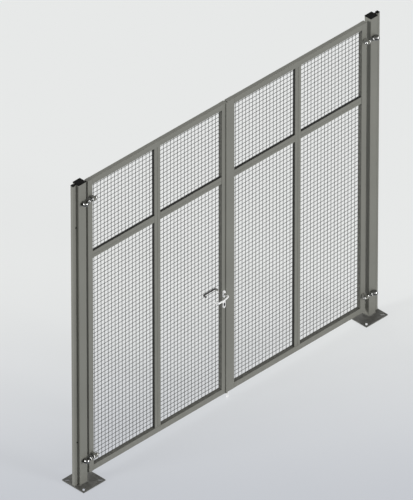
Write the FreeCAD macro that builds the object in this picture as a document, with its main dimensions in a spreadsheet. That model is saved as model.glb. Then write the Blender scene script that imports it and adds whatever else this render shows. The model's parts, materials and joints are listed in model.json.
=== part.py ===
"""Double mesh gate: two hinged leaves of welded mesh between two posts on base plates.

Millimetres, +Z up, X along the gate, front towards -Y.
The origin is the centre of the left base plate's underside.
Pieces of one side are placed by their distance from that side's base plate towards the middle,
so the same lines make the left leaf and its mirror image on the right.
"""
import FreeCAD, Part

import math
import os
import re

Vector = FreeCAD.Vector
Rotation = FreeCAD.Rotation
UP = Vector(0, 0, 1)
ALONG = Vector(1, 0, 0)

# Driving dimensions
SIZES = {
    "post_spacing": 2425,
    "plate_side": 185,
    "plate_thickness": 8,
    "anchor_inset": 22,
    "anchor_width": 14,
    "anchor_length": 34,
    "post_width": 60,
    "post_depth": 54,
    "post_wall": 3,
    "post_corner": 4,
    "post_offset": 6,
    "post_top": 2205,
    "neck_length": 15,
    "neck_width": 10,
    "bead_length": 19,
    "bead_width": 22,
    "bead_corner": 2,
    "cap_thickness": 6,
    "hang_gap": 24,
    "meeting_gap": 8,
    "leaf_setback": 10,
    "leaf_bottom": 52,
    "leaf_height": 2140,
    "frame_width": 40,
    "frame_depth": 30,
    "frame_wall": 2,
    "frame_corner": 2,
    "bolt_stile_width": 58,
    "bar_width": 50,
    "bar_depth": 20,
    "bar_setback": 2,
    "bar_corner": 1.5,
    "transom_drop": 554,
    "mesh_pitch": 29.5,
    "wire_size": 3.2,
    "hinge_low_rise": 135,
    "hinge_high_drop": 117,
    "hinge_reach": 21.5,
    "hinge_inset": 27.5,
    "ear_thickness": 5,
    "eye_radius": 20,
    "eye_height": 15,
    "pin_radius": 7,
    "pin_rise": 1,
    "running_clearance": 0.06,
    "eye_end_clearance": 0.5,
    "shank_radius": 7,
    "shank_end": 99,
    "shank_clearance": 0.3,
    "nut_radius": 13.5,
    "nut_thickness": 12,
    "jam_nut_distance": 23.5,
    "lug_distance": 65,
    "lug_thickness": 16,
    "lug_height": 22,
    "lug_cover": 11,
    "strip_width": 15,
    "strip_thickness": 6,
    "strip_reach": 5,
    "spindle_level": 800,
    "spindle_inset": 15,
    "spindle_radius": 5,
    "spindle_hole_radius": 9,
    "keyhole_drop": 78,
    "keyhole_radius": 4,
    "rose_width": 27,
    "rose_height": 50,
    "rose_thickness": 8,
    "rose_gap": 0.5,
    "lever_radius": 5.5,
    "lever_out": 34,
    "lever_length": 96,
    "lever_bend": 40,
    "lever_bow": 6,
    "lever_drop": 6,
    "lever_return": 24,
    "lever_bend_radius": 9,
    "rod_radius": 6,
    "rod_inset": 10,
    "rod_setback": 10,
    "rod_ground_clearance": 2,
    "rod_length": 420,
    "rod_stroke": 45,
    "guide_height": 30,
    "guide_rise": 320,
    "guide_clearance": 0.1,
    "knob_rise": 200,
    "knob_radius": 5,
    "knob_head_radius": 11,
    "knob_head_length": 18,
    "knob_standoff": 12,
    "knob_slot_clearance": 1.5,
}

# Places that several pieces share, worked out from the driving dimensions
PLACES = {
    "post_front": "-post_depth / 2",
    "leaf_front": "leaf_setback - post_depth / 2",
    "leaf_back": "leaf_setback - post_depth / 2 + frame_depth",
    "leaf_start": "post_offset + hang_gap",
    "bay_start": "post_offset + hang_gap + frame_width",
    "bay_span": "(post_spacing - 2 * post_offset - 2 * hang_gap - meeting_gap"
                " - 3 * frame_width - bolt_stile_width) / 2",
    "bay_bottom": "leaf_bottom + frame_width",
    "bay_top": "leaf_bottom + leaf_height - frame_width",
    "bar_front": "leaf_setback - post_depth / 2 + bar_setback",
    "bar_back": "leaf_setback - post_depth / 2 + bar_setback + bar_depth",
    "hinge_x": "post_offset - hinge_inset",
    "hinge_y": "-post_depth / 2 - hinge_reach",
    "hinge_low_level": "leaf_bottom + hinge_low_rise",
    "hinge_high_level": "leaf_bottom + leaf_height - hinge_high_drop",
    "transom_level": "leaf_bottom + leaf_height - transom_drop",
}

# Places built on the ones above
LOCK_PLACES = {
    "lock_stile_start": "bay_start + bay_span",
    "active_edge": "bay_start + bay_span + frame_width",
    "spindle_x": "bay_start + bay_span + spindle_inset",
    "rod_x": "post_spacing - bay_start - bay_span - bolt_stile_width + rod_inset",
    "rod_y": "leaf_front + rod_setback",
    "passive_edge": "post_spacing - bay_start - bay_span - bolt_stile_width",
}

doc = FreeCAD.newDocument("DoubleMeshGate")
nodes = []


def fill_sheet(name, cells):
    """A sheet of aliased cells; text other than a number is kept as a formula."""
    sheet = doc.addObject("Spreadsheet::Sheet", name)
    for row, (alias, content) in enumerate(cells.items(), start=1):
        sheet.set(f"A{row}", alias)
        sheet.set(f"B{row}", f"={bound(content)}" if isinstance(content, str) else str(content))
        sheet.setAlias(f"B{row}", alias)
    doc.recompute()
    return sheet


def bound(text):
    """The expression with each known word pointed at its sheet."""
    def point(match):
        word = match.group()
        if word in SIZES:
            return f"Sizes.{word}"
        if word in PLACES:
            return f"Places.{word}"
        if word in LOCK_PLACES:
            return f"LockPlaces.{word}"
        return word
    return re.sub(r"[a-z_]+", point, str(text))


def value(alias):
    """The number in the cell of that name."""
    sheet = sizes if alias in SIZES else places if alias in PLACES else lock_places
    return float(sheet.get(alias))


sizes = fill_sheet("Sizes", SIZES)
places = fill_sheet("Places", PLACES)
lock_places = fill_sheet("LockPlaces", LOCK_PLACES)


# Ways to make a piece

def bind(obj, properties, position):
    """Ties an object's sizes and place to the sheets."""
    for name, text in properties.items():
        obj.setExpression(name, bound(text))
    for axis, text in zip("xyz", position):
        obj.setExpression(f"Placement.Base.{axis}", bound(text))
    return obj


def block(name, size, corner):
    obj = doc.addObject("Part::Box", name)
    return bind(obj, dict(zip(("Length", "Width", "Height"), size)), corner)


def rounded(name, box, radius, axis):
    """A block with its four edges along one axis rounded."""
    doc.recompute()
    along = [
        (index, value(radius), value(radius))
        for index, edge in enumerate(box.Shape.Edges, start=1)
        if abs(edge.tangentAt(edge.FirstParameter).dot(axis)) > 0.5
    ]
    obj = doc.addObject("Part::Fillet", name)
    obj.Base = box
    obj.Edges = along
    return obj


def cylinder(name, radius, height, base, axis=Vector(0, 0, 1)):
    obj = doc.addObject("Part::Cylinder", name)
    obj.Placement.Rotation = Rotation(Vector(0, 0, 1), axis)
    return bind(obj, {"Radius": radius, "Height": height}, base)


def hexagon(name, radius, height, base, axis):
    obj = doc.addObject("Part::Prism", name)
    obj.Polygon = 6
    obj.Placement.Rotation = Rotation(Vector(0, 0, 1), axis)
    return bind(obj, {"Circumradius": radius, "Height": height}, base)


def fuse(name, *shapes):
    obj = doc.addObject("Part::MultiFuse", name)
    obj.Shapes = list(shapes)
    return obj


def cut(name, base, *tools):
    obj = doc.addObject("Part::Cut", name)
    obj.Base = base
    obj.Tool = tools[0] if len(tools) == 1 else fuse(f"{name}_tools", *tools)
    return obj


def node(label, obj):
    """Marks an object as a finished piece with a file of its own."""
    obj.Label = label
    nodes.append(obj)
    return obj


def upright_tube(name, size, corner, radius):
    """A rectangular tube standing up, closed at the top and open at the bottom."""
    outer = rounded(f"{name}_outer", block(f"{name}_bar", size, corner), radius, UP)
    inner_size = [f"{size[0]} - 2 * frame_wall", f"{size[1]} - 2 * frame_wall", f"{size[2]} - frame_wall"]
    inner_corner = [f"{corner[0]} + frame_wall", f"{corner[1]} + frame_wall", corner[2]]
    return cut(name, outer, block(f"{name}_inner", inner_size, inner_corner))


def lying_tube(name, size, corner, radius):
    """A rectangular tube along X, open at both ends."""
    outer = rounded(f"{name}_outer", block(f"{name}_bar", size, corner), radius, ALONG)
    inner_size = [size[0], f"{size[1]} - 2 * frame_wall", f"{size[2]} - 2 * frame_wall"]
    inner_corner = [corner[0], f"{corner[1]} + frame_wall", f"{corner[2]} + frame_wall"]
    return cut(name, outer, block(f"{name}_inner", inner_size, inner_corner))


def open_upright_tube(name, size, corner, radius):
    """A rectangular tube standing up, open at both ends."""
    outer = rounded(f"{name}_outer", block(f"{name}_bar", size, corner), radius, UP)
    inner_size = [f"{size[0]} - 2 * frame_wall", f"{size[1]} - 2 * frame_wall", size[2]]
    inner_corner = [f"{corner[0]} + frame_wall", f"{corner[1]} + frame_wall", corner[2]]
    return cut(name, outer, block(f"{name}_inner", inner_size, inner_corner))


def oval(name, width, height, thickness, centre):
    """An upright oval plate with half-round ends, its back at centre, thick towards -Y."""
    x, y, z = centre
    straight = f"(({height}) - ({width}))"
    middle = block(f"{name}_middle", [width, thickness, straight],
                   [f"{x} - ({width}) / 2", f"{y} - {thickness}", f"{z} - {straight} / 2"])
    ends = [
        cylinder(f"{name}_end_{end}", f"({width}) / 2", thickness,
                 [x, y, f"{z} {sign} {straight} / 2"], Vector(0, -1, 0))
        for end, sign in (("low", "-"), ("high", "+"))
    ]
    return fuse(name, middle, *ends)


def bent_rod(points, radius, bend_radius):
    """A round rod along straight runs joined by tangent arcs."""
    edges = []
    start = points[0]
    for before, corner, after in zip(points, points[1:], points[2:]):
        into = (corner - before).normalize()
        out = (after - corner).normalize()
        half_turn = into.getAngle(out) / 2
        trim = bend_radius * math.tan(half_turn)
        arc_start = corner - into * trim
        arc_end = corner + out * trim
        towards_centre = (out - into).normalize()
        sagitta = bend_radius / math.cos(half_turn) - bend_radius
        edges.append(Part.makeLine(start, arc_start))
        edges.append(Part.Arc(arc_start, corner + towards_centre * sagitta, arc_end).toShape())
        start = arc_end
    edges.append(Part.makeLine(start, points[-1]))
    path = Part.Wire(edges)
    ring = Part.Wire(Part.makeCircle(radius, points[0], points[1] - points[0]))
    return path.makePipeShell([ring], True, False)


def feature(name, shape):
    obj = doc.addObject("Part::Feature", name)
    obj.Shape = shape
    return obj


def mirrored_x(side, start, width="0"):
    """The low X of a piece that starts a distance from its own base plate and is that wide."""
    return start if side == "left" else f"post_spacing - ({start}) - ({width})"


def towards_middle(side):
    return Vector(1, 0, 0) if side == "left" else Vector(-1, 0, 0)


# Posts

def base_plate(side):
    name = f"{side}_base_plate"
    centre = mirrored_x(side, "0")
    slab = block(f"{name}_slab", ["plate_side", "plate_side", "plate_thickness"],
                 [f"{centre} - plate_side / 2", "-plate_side / 2", "0"])
    slots = [
        anchor_slot(f"{name}_slot_{number}", turn,
                    [f"{centre} + ({along}) * (plate_side / 2 - anchor_inset)",
                     f"({across}) * (plate_side / 2 - anchor_inset)"])
        for number, (along, across, turn) in enumerate(((-1, -1, 45), (1, -1, -45), (-1, 1, -45), (1, 1, 45)))
    ]
    return node(name, cut(name, slab, *slots))


def anchor_slot(name, turn, centre):
    """A long hole along the plate's diagonal, with round ends."""
    reach = "(anchor_length - anchor_width) / 2"
    x, y = centre
    direction = Rotation(UP, turn).multVec(ALONG)
    ends = [
        cylinder(f"{name}_end_{end}", "anchor_width / 2", "plate_thickness",
                 [f"{x} + ({end}) * {reach} * {direction.x}", f"{y} + ({end}) * {reach} * {direction.y}", "0"])
        for end in (-1, 1)
    ]
    middle = block(f"{name}_middle", ["anchor_length - anchor_width", "anchor_width", "plate_thickness"],
                   [f"{x} - {reach} * {direction.x} + anchor_width / 2 * {direction.y}",
                    f"{y} - {reach} * {direction.y} - anchor_width / 2 * {direction.x}", "0"])
    middle.Placement.Rotation = Rotation(UP, turn)
    return fuse(name, middle, *ends)


def post_outline(name, side, bottom, height):
    """The post's main rectangle, neck and outer bead, solid, as three blocks."""
    main = rounded(f"{name}_main", block(f"{name}_bar", ["post_width", "post_depth", height],
                   [mirrored_x(side, "post_offset - post_width", "post_width"), "post_front", bottom]),
                   "post_corner", UP)
    neck = block(f"{name}_neck", ["neck_length", "neck_width", height],
                 [mirrored_x(side, "post_offset - post_width - neck_length", "neck_length"),
                  "-neck_width / 2", bottom])
    bead_start = "post_offset - post_width - neck_length - bead_length"
    bead = rounded(f"{name}_bead", block(f"{name}_bead_bar", ["bead_length", "bead_width", height],
                   [mirrored_x(side, bead_start, "bead_length"), "-bead_width / 2", bottom]),
                   "bead_corner", UP)
    return main, neck, bead


def post(side):
    """The post's tube, and the neck and bead that the next fence panel takes hold of."""
    name = f"{side}_post"
    height = "(post_top - plate_thickness)"
    main, neck, bead = post_outline(name, side, "plate_thickness", height)
    hollow = block(f"{name}_hollow", ["post_width - 2 * post_wall", "post_depth - 2 * post_wall", height],
                   [mirrored_x(side, "post_offset - post_width + post_wall", "post_width - 2 * post_wall"),
                    "post_front + post_wall", "plate_thickness"])
    node(name, cut(name, main, hollow))
    node(f"{name}_neck", neck)
    node(f"{name}_bead", bead)


def post_cap(side):
    name = f"{side}_post_cap"
    return node(name, fuse(name, *post_outline(name, side, "post_top", "cap_thickness")))


def hinge_bracket(side, place, level):
    """An ear on the post's front face with the upright pin that carries the eye."""
    name = f"{side}_{place}_hinge_bracket"
    axis_x = mirrored_x(side, "hinge_x")
    bottom = f"{level} - eye_height / 2 - eye_end_clearance - ear_thickness"
    arm = block(f"{name}_arm", ["2 * eye_radius", "hinge_reach", "ear_thickness"],
                [f"{axis_x} - eye_radius", "hinge_y", bottom])
    nose = cylinder(f"{name}_nose", "eye_radius", "ear_thickness", [axis_x, "hinge_y", bottom])
    pin = cylinder(f"{name}_pin", "pin_radius", "ear_thickness + eye_end_clearance + eye_height + pin_rise",
                   [axis_x, "hinge_y", bottom])
    return node(name, fuse(name, arm, nose, pin))


# Leaves

def stile(side, place, start, width):
    name = f"{side}_{place}_stile_tube"
    return upright_tube(name, [width, "frame_depth", "leaf_height"],
                        [mirrored_x(side, start, width), "leaf_front", "leaf_bottom"], "frame_corner")


def rail(side, place, bottom):
    name = f"{side}_{place}_rail"
    return node(name, lying_tube(name, ["bay_span", "frame_depth", "frame_width"],
                                 [mirrored_x(side, "bay_start", "bay_span"), "leaf_front", bottom],
                                 "frame_corner"))


def mullion(side):
    name = f"{side}_mullion"
    start = "bay_start + bay_span / 2 - bar_width / 2"
    return node(name, open_upright_tube(name, ["bar_width", "bar_depth", "(bay_top - bay_bottom)"],
                                        [mirrored_x(side, start, "bar_width"), "bar_front", "bay_bottom"],
                                        "bar_corner"))


def transom(side):
    """The cross bar in two lengths, one on each side of the mullion."""
    length = "(bay_span - bar_width) / 2"
    starts = {"outer": "bay_start", "inner": "bay_start + (bay_span + bar_width) / 2"}
    halves = [
        lying_tube(f"{side}_{place}_transom", [length, "bar_depth", "bar_width"],
                   [mirrored_x(side, start, length), "bar_front", "transom_level - bar_width / 2"], "bar_corner")
        for place, start in starts.items()
    ]
    pair = doc.addObject("Part::Compound", f"{side}_transom_pair")
    pair.Links = halves
    return node(f"{side}_transom", pair)


def ladder(corner, size, count, along):
    """A flat panel of evenly spaced square wires between two border wires, cut from one sheet."""
    wire = value("wire_size")
    sheet = Part.makeBox(*size, corner)
    run = size[along]
    across = 2 - along
    step = (run - wire) / (count + 1)
    gaps = []
    for index in range(count + 1):
        gap_size = list(size)
        gap_size[along] = step - wire
        gap_size[across] = size[across] - 2 * wire
        gap_corner = Vector(corner)
        gap_corner[along] += wire + index * step
        gap_corner[across] += wire
        gaps.append(Part.makeBox(*gap_size, gap_corner))
    return sheet.cut(Part.makeCompound(gaps))


def wires(side):
    """The welded mesh: upright wires on the bars' back and cross wires behind them."""
    wire = value("wire_size")
    span = value("bay_span")
    bottom = value("bay_bottom")
    height = value("bay_top") - bottom
    start = value("bay_start") if side == "left" else value("post_spacing") - value("bay_start") - span
    pitch = value("mesh_pitch")
    layers = {
        "upright": (value("bar_back"), span, 0),
        "cross": (value("bar_back") + wire, height, 2),
    }
    for layer, (front, run, along) in layers.items():
        shape = ladder(Vector(start, front, bottom), (span, wire, height), math.floor(run / pitch), along)
        node(f"{side}_mesh_{layer}_wires", feature(f"{side}_{layer}_wires", shape))


def eyebolt(side, place, level):
    """The eye on the hinge pin, with its threaded shank and three nuts."""
    name = f"{side}_{place}_eyebolt"
    axis_x = mirrored_x(side, "hinge_x")
    direction = towards_middle(side)
    sign = "+" if side == "left" else "-"
    eye = cylinder(f"{name}_eye", "eye_radius", "eye_height", [axis_x, "hinge_y", f"{level} - eye_height / 2"])
    shank = cylinder(f"{name}_shank", "shank_radius", "shank_end", [axis_x, "hinge_y", level], direction)
    nut_starts = {
        "jam_nut": "jam_nut_distance",
        "inner_nut": "lug_distance - nut_thickness",
        "outer_nut": "lug_distance + lug_thickness",
    }
    nuts = [
        hexagon(f"{name}_{nut}", "nut_radius", "nut_thickness",
                [f"{axis_x} {sign} ({distance})", "hinge_y", level], direction)
        for nut, distance in nut_starts.items()
    ]
    bore = cylinder(f"{name}_bore", "pin_radius + running_clearance", "eye_height",
                    [axis_x, "hinge_y", f"{level} - eye_height / 2"])
    return node(name, cut(name, fuse(f"{name}_solid", eye, shank, *nuts), bore))


def hinge_lug(side, place, level):
    """The block on the stile's front face that carries the eyebolt's shank."""
    name = f"{side}_{place}_hinge_lug"
    start = "hinge_x + lug_distance"
    body = block(f"{name}_block", ["lug_thickness", "leaf_front - hinge_y + lug_cover", "lug_height"],
                 [mirrored_x(side, start, "lug_thickness"), "hinge_y - lug_cover", f"{level} - lug_height / 2"])
    hole = cylinder(f"{name}_hole", "shank_radius + shank_clearance", "lug_thickness",
                    [mirrored_x(side, start), "hinge_y", level], towards_middle(side))
    return node(name, cut(name, body, hole))


def leaf(side, meeting_width):
    node(f"{side}_hinge_stile", stile(side, "hinge", "leaf_start", "frame_width"))
    lock_stile = stile(side, "lock", "lock_stile_start", meeting_width)
    rail(side, "top", "bay_top")
    rail(side, "bottom", "leaf_bottom")
    mullion(side)
    transom(side)
    wires(side)
    for place in ("low", "high"):
        level = f"hinge_{place}_level"
        eyebolt(side, place, level)
        hinge_lug(side, place, level)
    return lock_stile


# Lock, handle and meeting strip of the active leaf

def lock_stile_holes(stile_tube):
    """The way for the spindle and the lock cylinder through the active leaf's lock stile."""
    holes = [
        cylinder(f"lock_hole_{hole}", "spindle_hole_radius", "frame_depth",
                 ["spindle_x", "leaf_front", level], Vector(0, 1, 0))
        for hole, level in (("spindle", "spindle_level"), ("cylinder", "spindle_level - keyhole_drop"))
    ]
    return node("left_lock_stile", cut("left_drilled_lock_stile", stile_tube, *holes))


def rose(face, label, level, hole_radius):
    """An oval plate on one face of the lock stile, with a round hole."""
    back = "leaf_front" if face == "front" else "leaf_back + rose_thickness"
    plate = oval(f"{label}_plate", "rose_width", "rose_height", "rose_thickness", ["spindle_x", back, level])
    hole = cylinder(f"{label}_hole", hole_radius, "rose_thickness", ["spindle_x", back, level], Vector(0, -1, 0))
    return node(label, cut(label, plate, hole))


def lever(face):
    """A lever that stands out from its rose, bows out on its way to the hinge side and returns towards the leaf."""
    outward = -1 if face == "front" else 1
    leaf_face = value("leaf_front") if face == "front" else value("leaf_back")
    rose_face = leaf_face + outward * (value("rose_thickness") + value("rose_gap"))
    neck_y = leaf_face + outward * (value("rose_thickness") + value("lever_out"))
    bar_y = neck_y + outward * value("lever_bow")
    x = value("spindle_x")
    z = value("spindle_level")
    end_x = x - value("lever_length")
    end_z = z - value("lever_drop")
    points = [
        Vector(x, rose_face, z),
        Vector(x, neck_y, z),
        Vector(x - value("lever_bend"), bar_y, end_z),
        Vector(end_x, bar_y, end_z),
        Vector(end_x, bar_y - outward * value("lever_return"), end_z),
    ]
    shape = bent_rod(points, value("lever_radius"), value("lever_bend_radius"))
    return node(f"{face}_lever", feature(f"{face}_lever_rod", shape))


def spindle():
    length = "frame_depth + 2 * (rose_thickness + rose_gap)"
    return node("lever_spindle", cylinder("lever_spindle", "spindle_radius", length,
                                          ["spindle_x", "leaf_front - rose_thickness - rose_gap", "spindle_level"],
                                          Vector(0, 1, 0)))


def meeting_strip():
    """The flat bar on the active leaf's front that reaches over the gap between the leaves."""
    corner = ["active_edge + strip_reach - strip_width", "leaf_front - strip_thickness", "leaf_bottom"]
    return node("meeting_strip", block("meeting_strip", ["strip_width", "strip_thickness", "leaf_height"], corner))


# Drop bolt inside the passive leaf's lock stile

def slotted_lock_stile(stile_tube):
    """The passive leaf's lock stile with a slot in its back wall for the bolt's knob."""
    half_width = "(knob_radius + knob_slot_clearance)"
    slot = block("knob_slot", [f"2 * {half_width}", "frame_wall", f"rod_stroke + 2 * {half_width}"],
                 [f"rod_x - {half_width}", "leaf_back - frame_wall", f"leaf_bottom + knob_rise - {half_width}"])
    return node("right_lock_stile", cut("right_slotted_lock_stile", stile_tube, slot))


def bolt_guide(place, bottom):
    """A plug that fills the lock stile and guides the rod."""
    name = f"{place}_bolt_guide"
    body = block(f"{name}_plug", ["bolt_stile_width - 2 * frame_wall", "frame_depth - 2 * frame_wall", "guide_height"],
                 ["passive_edge + frame_wall", "leaf_front + frame_wall", bottom])
    hole = cylinder(f"{name}_hole", "rod_radius + guide_clearance", "guide_height", ["rod_x", "rod_y", bottom])
    return node(name, cut(name, body, hole))


def drop_bolt():
    level = "leaf_bottom + knob_rise"
    neck_length = "(leaf_back + knob_standoff - rod_y)"
    rod = cylinder("drop_rod", "rod_radius", "rod_length", ["rod_x", "rod_y", "rod_ground_clearance"])
    neck = cylinder("knob_neck", "knob_radius", neck_length, ["rod_x", "rod_y", level], Vector(0, 1, 0))
    head = cylinder("knob_head", "knob_head_radius", "knob_head_length",
                    ["rod_x", f"rod_y + {neck_length}", level], Vector(0, 1, 0))
    return node("drop_bolt", fuse("drop_bolt", rod, neck, head))


def build():
    for side in ("left", "right"):
        base_plate(side)
        post(side)
        post_cap(side)
        for place in ("low", "high"):
            hinge_bracket(side, place, f"hinge_{place}_level")
    lock_stile_holes(leaf("left", "frame_width"))
    slotted_lock_stile(leaf("right", "bolt_stile_width"))
    for face in ("front", "back"):
        rose(face, f"{face}_handle_rose", "spindle_level", "spindle_radius + running_clearance")
        rose(face, f"{face}_key_rose", "spindle_level - keyhole_drop", "keyhole_radius")
        lever(face)
    spindle()
    meeting_strip()
    bolt_guide("low", "leaf_bottom")
    bolt_guide("high", "leaf_bottom + guide_rise")
    drop_bolt()


def write_parts():
    doc.recompute()
    for obj in doc.Objects:
        if {"Invalid", "Error"} & set(obj.State):
            raise RuntimeError(f"{obj.Name} failed: {obj.State}")
    for obj in nodes:
        if obj.Shape.isNull() or not obj.Shape.isValid():
            raise RuntimeError(f"{obj.Label} has no valid shape")
    os.makedirs("parts", exist_ok=True)
    for obj in nodes:
        obj.Shape.exportStep(os.path.join("parts", f"{obj.Label}.step"))
        print(obj.Label, len(obj.Shape.Solids), round(obj.Shape.Volume))


build()
write_parts()
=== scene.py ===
"""Double mesh gate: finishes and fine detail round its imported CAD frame, laid out as a Blender add-on."""

import json
import math

import bmesh
import bpy
from bpy.props import FloatProperty, FloatVectorProperty, IntProperty, PointerProperty
from mathutils import Matrix, Vector


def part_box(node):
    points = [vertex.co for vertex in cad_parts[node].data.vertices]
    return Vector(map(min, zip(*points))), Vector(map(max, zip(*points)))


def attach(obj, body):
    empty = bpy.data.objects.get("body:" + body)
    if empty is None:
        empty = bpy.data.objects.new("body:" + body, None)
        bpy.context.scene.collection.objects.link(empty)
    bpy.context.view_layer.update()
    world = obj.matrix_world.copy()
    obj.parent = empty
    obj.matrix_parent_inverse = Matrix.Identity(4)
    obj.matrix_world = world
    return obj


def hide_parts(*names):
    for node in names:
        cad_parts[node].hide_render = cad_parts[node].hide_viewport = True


bl_info = {
    "name": "Double Mesh Gate",
    "version": (1, 0, 0),
    "blender": (4, 5, 0),
    "location": "3D View > Sidebar > Gate",
    "description": "Dresses a double mesh gate's CAD frame with wires, bars, hinges, lock and finishes",
    "category": "Object",
}

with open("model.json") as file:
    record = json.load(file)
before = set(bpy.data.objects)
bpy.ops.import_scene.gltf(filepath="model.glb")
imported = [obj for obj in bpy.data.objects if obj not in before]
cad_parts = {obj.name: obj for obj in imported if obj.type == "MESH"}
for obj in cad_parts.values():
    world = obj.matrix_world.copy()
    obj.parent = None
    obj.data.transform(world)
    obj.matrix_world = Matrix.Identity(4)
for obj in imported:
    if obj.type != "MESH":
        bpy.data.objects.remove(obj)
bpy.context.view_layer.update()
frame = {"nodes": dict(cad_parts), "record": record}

SIDES = ("left", "right")
HEIGHTS = ("low", "high")
X, Z = 0, 2

# Numbers of sides of round shapes
EYE_SIDES = 40
ROUND_SIDES = 28
SMALL_SIDES = 20
SCREW_SIDES = 16
NUT_SIDES = 6
FLOOR_SIDES = 96

SHARP_ANGLE = math.radians(20)  # faces that meet at a wider angle look sharp
MERGE_DISTANCE = 1e-7  # points closer than this are one
TOLERANCE = 1e-6  # measures closer than this are equal


def length(name, description, default):
    """A property that holds a length in metres."""
    return FloatProperty(name=name, description=description, default=default, min=0.0, precision=5,
                         unit="LENGTH")


def lengths(name, description, default):
    """A property that holds several lengths or coordinates in metres."""
    return FloatVectorProperty(name=name, description=description, default=default, size=len(default),
                               precision=5, unit="LENGTH")


def share(name, description, default):
    """A property that holds a part of one."""
    return FloatProperty(name=name, description=description, default=default, min=0.0, max=1.0,
                         subtype="FACTOR")


def number(name, description, default):
    """A property that holds a plain number."""
    return FloatProperty(name=name, description=description, default=default, min=0.0)


def whole(name, description, default, least):
    """A property that holds a whole number."""
    return IntProperty(name=name, description=description, default=default, min=least)


def angle(name, description, default):
    """A property that holds an angle, given here in degrees."""
    return FloatProperty(name=name, description=description, default=math.radians(default), subtype="ANGLE")


def heading(name, description, default):
    """A property that holds a direction."""
    return FloatVectorProperty(name=name, description=description, default=default, size=3,
                               subtype="DIRECTION")


def colour(name, description, default):
    """A property that holds a linear colour."""
    return FloatVectorProperty(name=name, description=description, default=default, min=0.0, max=1.0,
                               size=3, subtype="COLOR")


class GateSizes(bpy.types.PropertyGroup):
    """Sizes of the pieces that this script models."""

    wire_diameter: length("Wire Diameter", "Thickness of the mesh wires", 0.0032)
    mesh_pitch: length("Mesh Pitch", "Widest step from one mesh wire to the next", 0.0295)
    wire_sink: length("Wire Sink", "How far crossing wires melt into each other", 0.0004)
    wire_sides: whole("Wire Sides", "Sides of a wire's section", 8, 6)

    bar_edge: length("Bar Edge", "Rounding of the mid bars' long edges", 0.0016)
    groove: lengths("Groove", "Width and depth of the groove in a mid bar's front", (0.0036, 0.0022))
    # The strips are painted shade: dark sheets on the openings' sides, where only shade falls.
    shade_trim: lengths("Trim", "Thickness, setback, end clearance and chamfer of the strips in the openings",
                  (0.0012, 0.0018, 0.0015, 0.0004))

    eye: lengths("Eye", "Outer radius, bore radius and height of an eyebolt's eye", (0.020, 0.00706, 0.015))
    shoulder: lengths("Shoulder", "Inset and height of the slanted shoulders round an eye", (0.0033, 0.006))
    eye_edge: length("Eye Edge", "Rounding of the shoulders' edges", 0.0008)
    shank_radius: length("Shank Radius", "Outer radius of an eyebolt's thread", 0.007)
    thread: lengths("Thread", "Pitch, depth and end chamfer of that thread", (0.002, 0.0011, 0.0006))
    nut: lengths("Nut", "Radius over the corners, thickness and rounding of a nut", (0.0135, 0.012, 0.0024))
    nut_steps: whole("Nut Steps", "Steps in that rounding", 6, 1)
    nut_starts: lengths("Nut Starts", "Distances of the nuts from the hinge pin", (0.0235, 0.053, 0.081))

    rose_width: length("Rose Width", "Width of the roses", 0.021)
    rose_edge: length("Rose Edge", "Rounding of the roses' rims", 0.0022)
    keyhole: lengths("Keyhole", "Width and height of the dark opening in a key rose", (0.0115, 0.026))
    cylinder: lengths("Key Cylinder", "Play and rounding of the key cylinder in it", (0.0002, 0.0004))
    cylinder_rise: share("Cylinder Rise", "Height of a key cylinder as a part of its rose's", 0.8)
    bush: lengths("Bush", "Radius, length and rounding of a lever's bush", (0.0064, 0.022, 0.0012))
    bush_gap: length("Bush Gap", "Gap between a rose and its bush", 0.0004)

    plate_rise: length("Plate Rise", "Middle of the latch plate over the key rose's lower end", 0.055)
    latch_rise: length("Latch Rise", "Middle of the latch over the key rose's lower end", 0.1025)
    latch_plate: lengths("Latch Plate", "Width, height, thickness and rounding of the latch plate",
                         (0.020, 0.230, 0.002, 0.0006))
    latch_bolt: lengths("Latch Bolt", "Width, height, reach and rounding of the latch",
                        (0.012, 0.025, 0.0055, 0.0015))
    strike_plate: lengths("Strike Plate", "Width, height, thickness and rounding of the strike plate",
                          (0.022, 0.125, 0.0015, 0.0005))
    # The pocket is painted shade: a dark block on the strike plate where the latch's hole would lie in
    # shade.
    strike_pocket: lengths("Strike Pocket", "Width, height, thickness and rounding of its dark pocket",
                           (0.014, 0.035, 0.0015, 0.0004))
    pocket_lift: length("Pocket Lift", "How far the pocket stands out of the strike plate", 0.0004)
    plate_heads: lengths("Plate Heads", "How far the screws stand out of latch plate and strike plate",
                         (0.0008, 0.0007))
    plate_screw: lengths("Plate Screw", "Their radius, distance from the plates' ends and rounding",
                         (0.0035, 0.010, 0.0005))

    bolt_radius: length("Bolt Radius", "Radius of the drop bolt's rod", 0.006)
    bolt_chamfer: length("Bolt Chamfer", "Chamfer of the rod's ends", 0.001)
    tip: lengths("Tip", "Length of the rod's tapered tip and its loss of radius", (0.006, 0.003))
    tip_belly: share("Tip Belly", "Part of that loss that is left above the tip's chamfer", 0.4)
    knob: lengths("Knob", "Height over the rod's lower end, neck radius and head length of the knob",
                  (0.250, 0.005, 0.018))
    knob_waist: share("Knob Waist", "Radius of the knob's grip as a part of its rims'", 0.93)
    knob_edges: lengths("Knob Edges", "Chamfers of the knob's inner and outer rim", (0.002, 0.003))

    weld_leg: length("Weld Leg", "Height and width of the weld round a post's foot", 0.004)
    bead_weld: share("Bead Weld", "Size of the weld round a post's bead as a part of that", 0.6)
    weld_cuts: whole("Weld Cuts", "Cuts along each side of a weld", 23, 1)
    ripple_height: length("Ripple Height", "Height of the ripples along a weld", 0.0008)
    ripple_rate: number("Ripple Rate", "Radians of ripple per metre", 2400.0)
    groove_screw: lengths("Groove Screw", "Radius, height and rounding of the screws in a post's groove",
                          (0.0045, 0.004, 0.0008))
    screw_inset: length("Screw Inset", "Distance of those screws from the post's ends", 0.31)
    cap_edge: length("Cap Edge", "Rounding of a post cap's edges", 0.0015)


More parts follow.
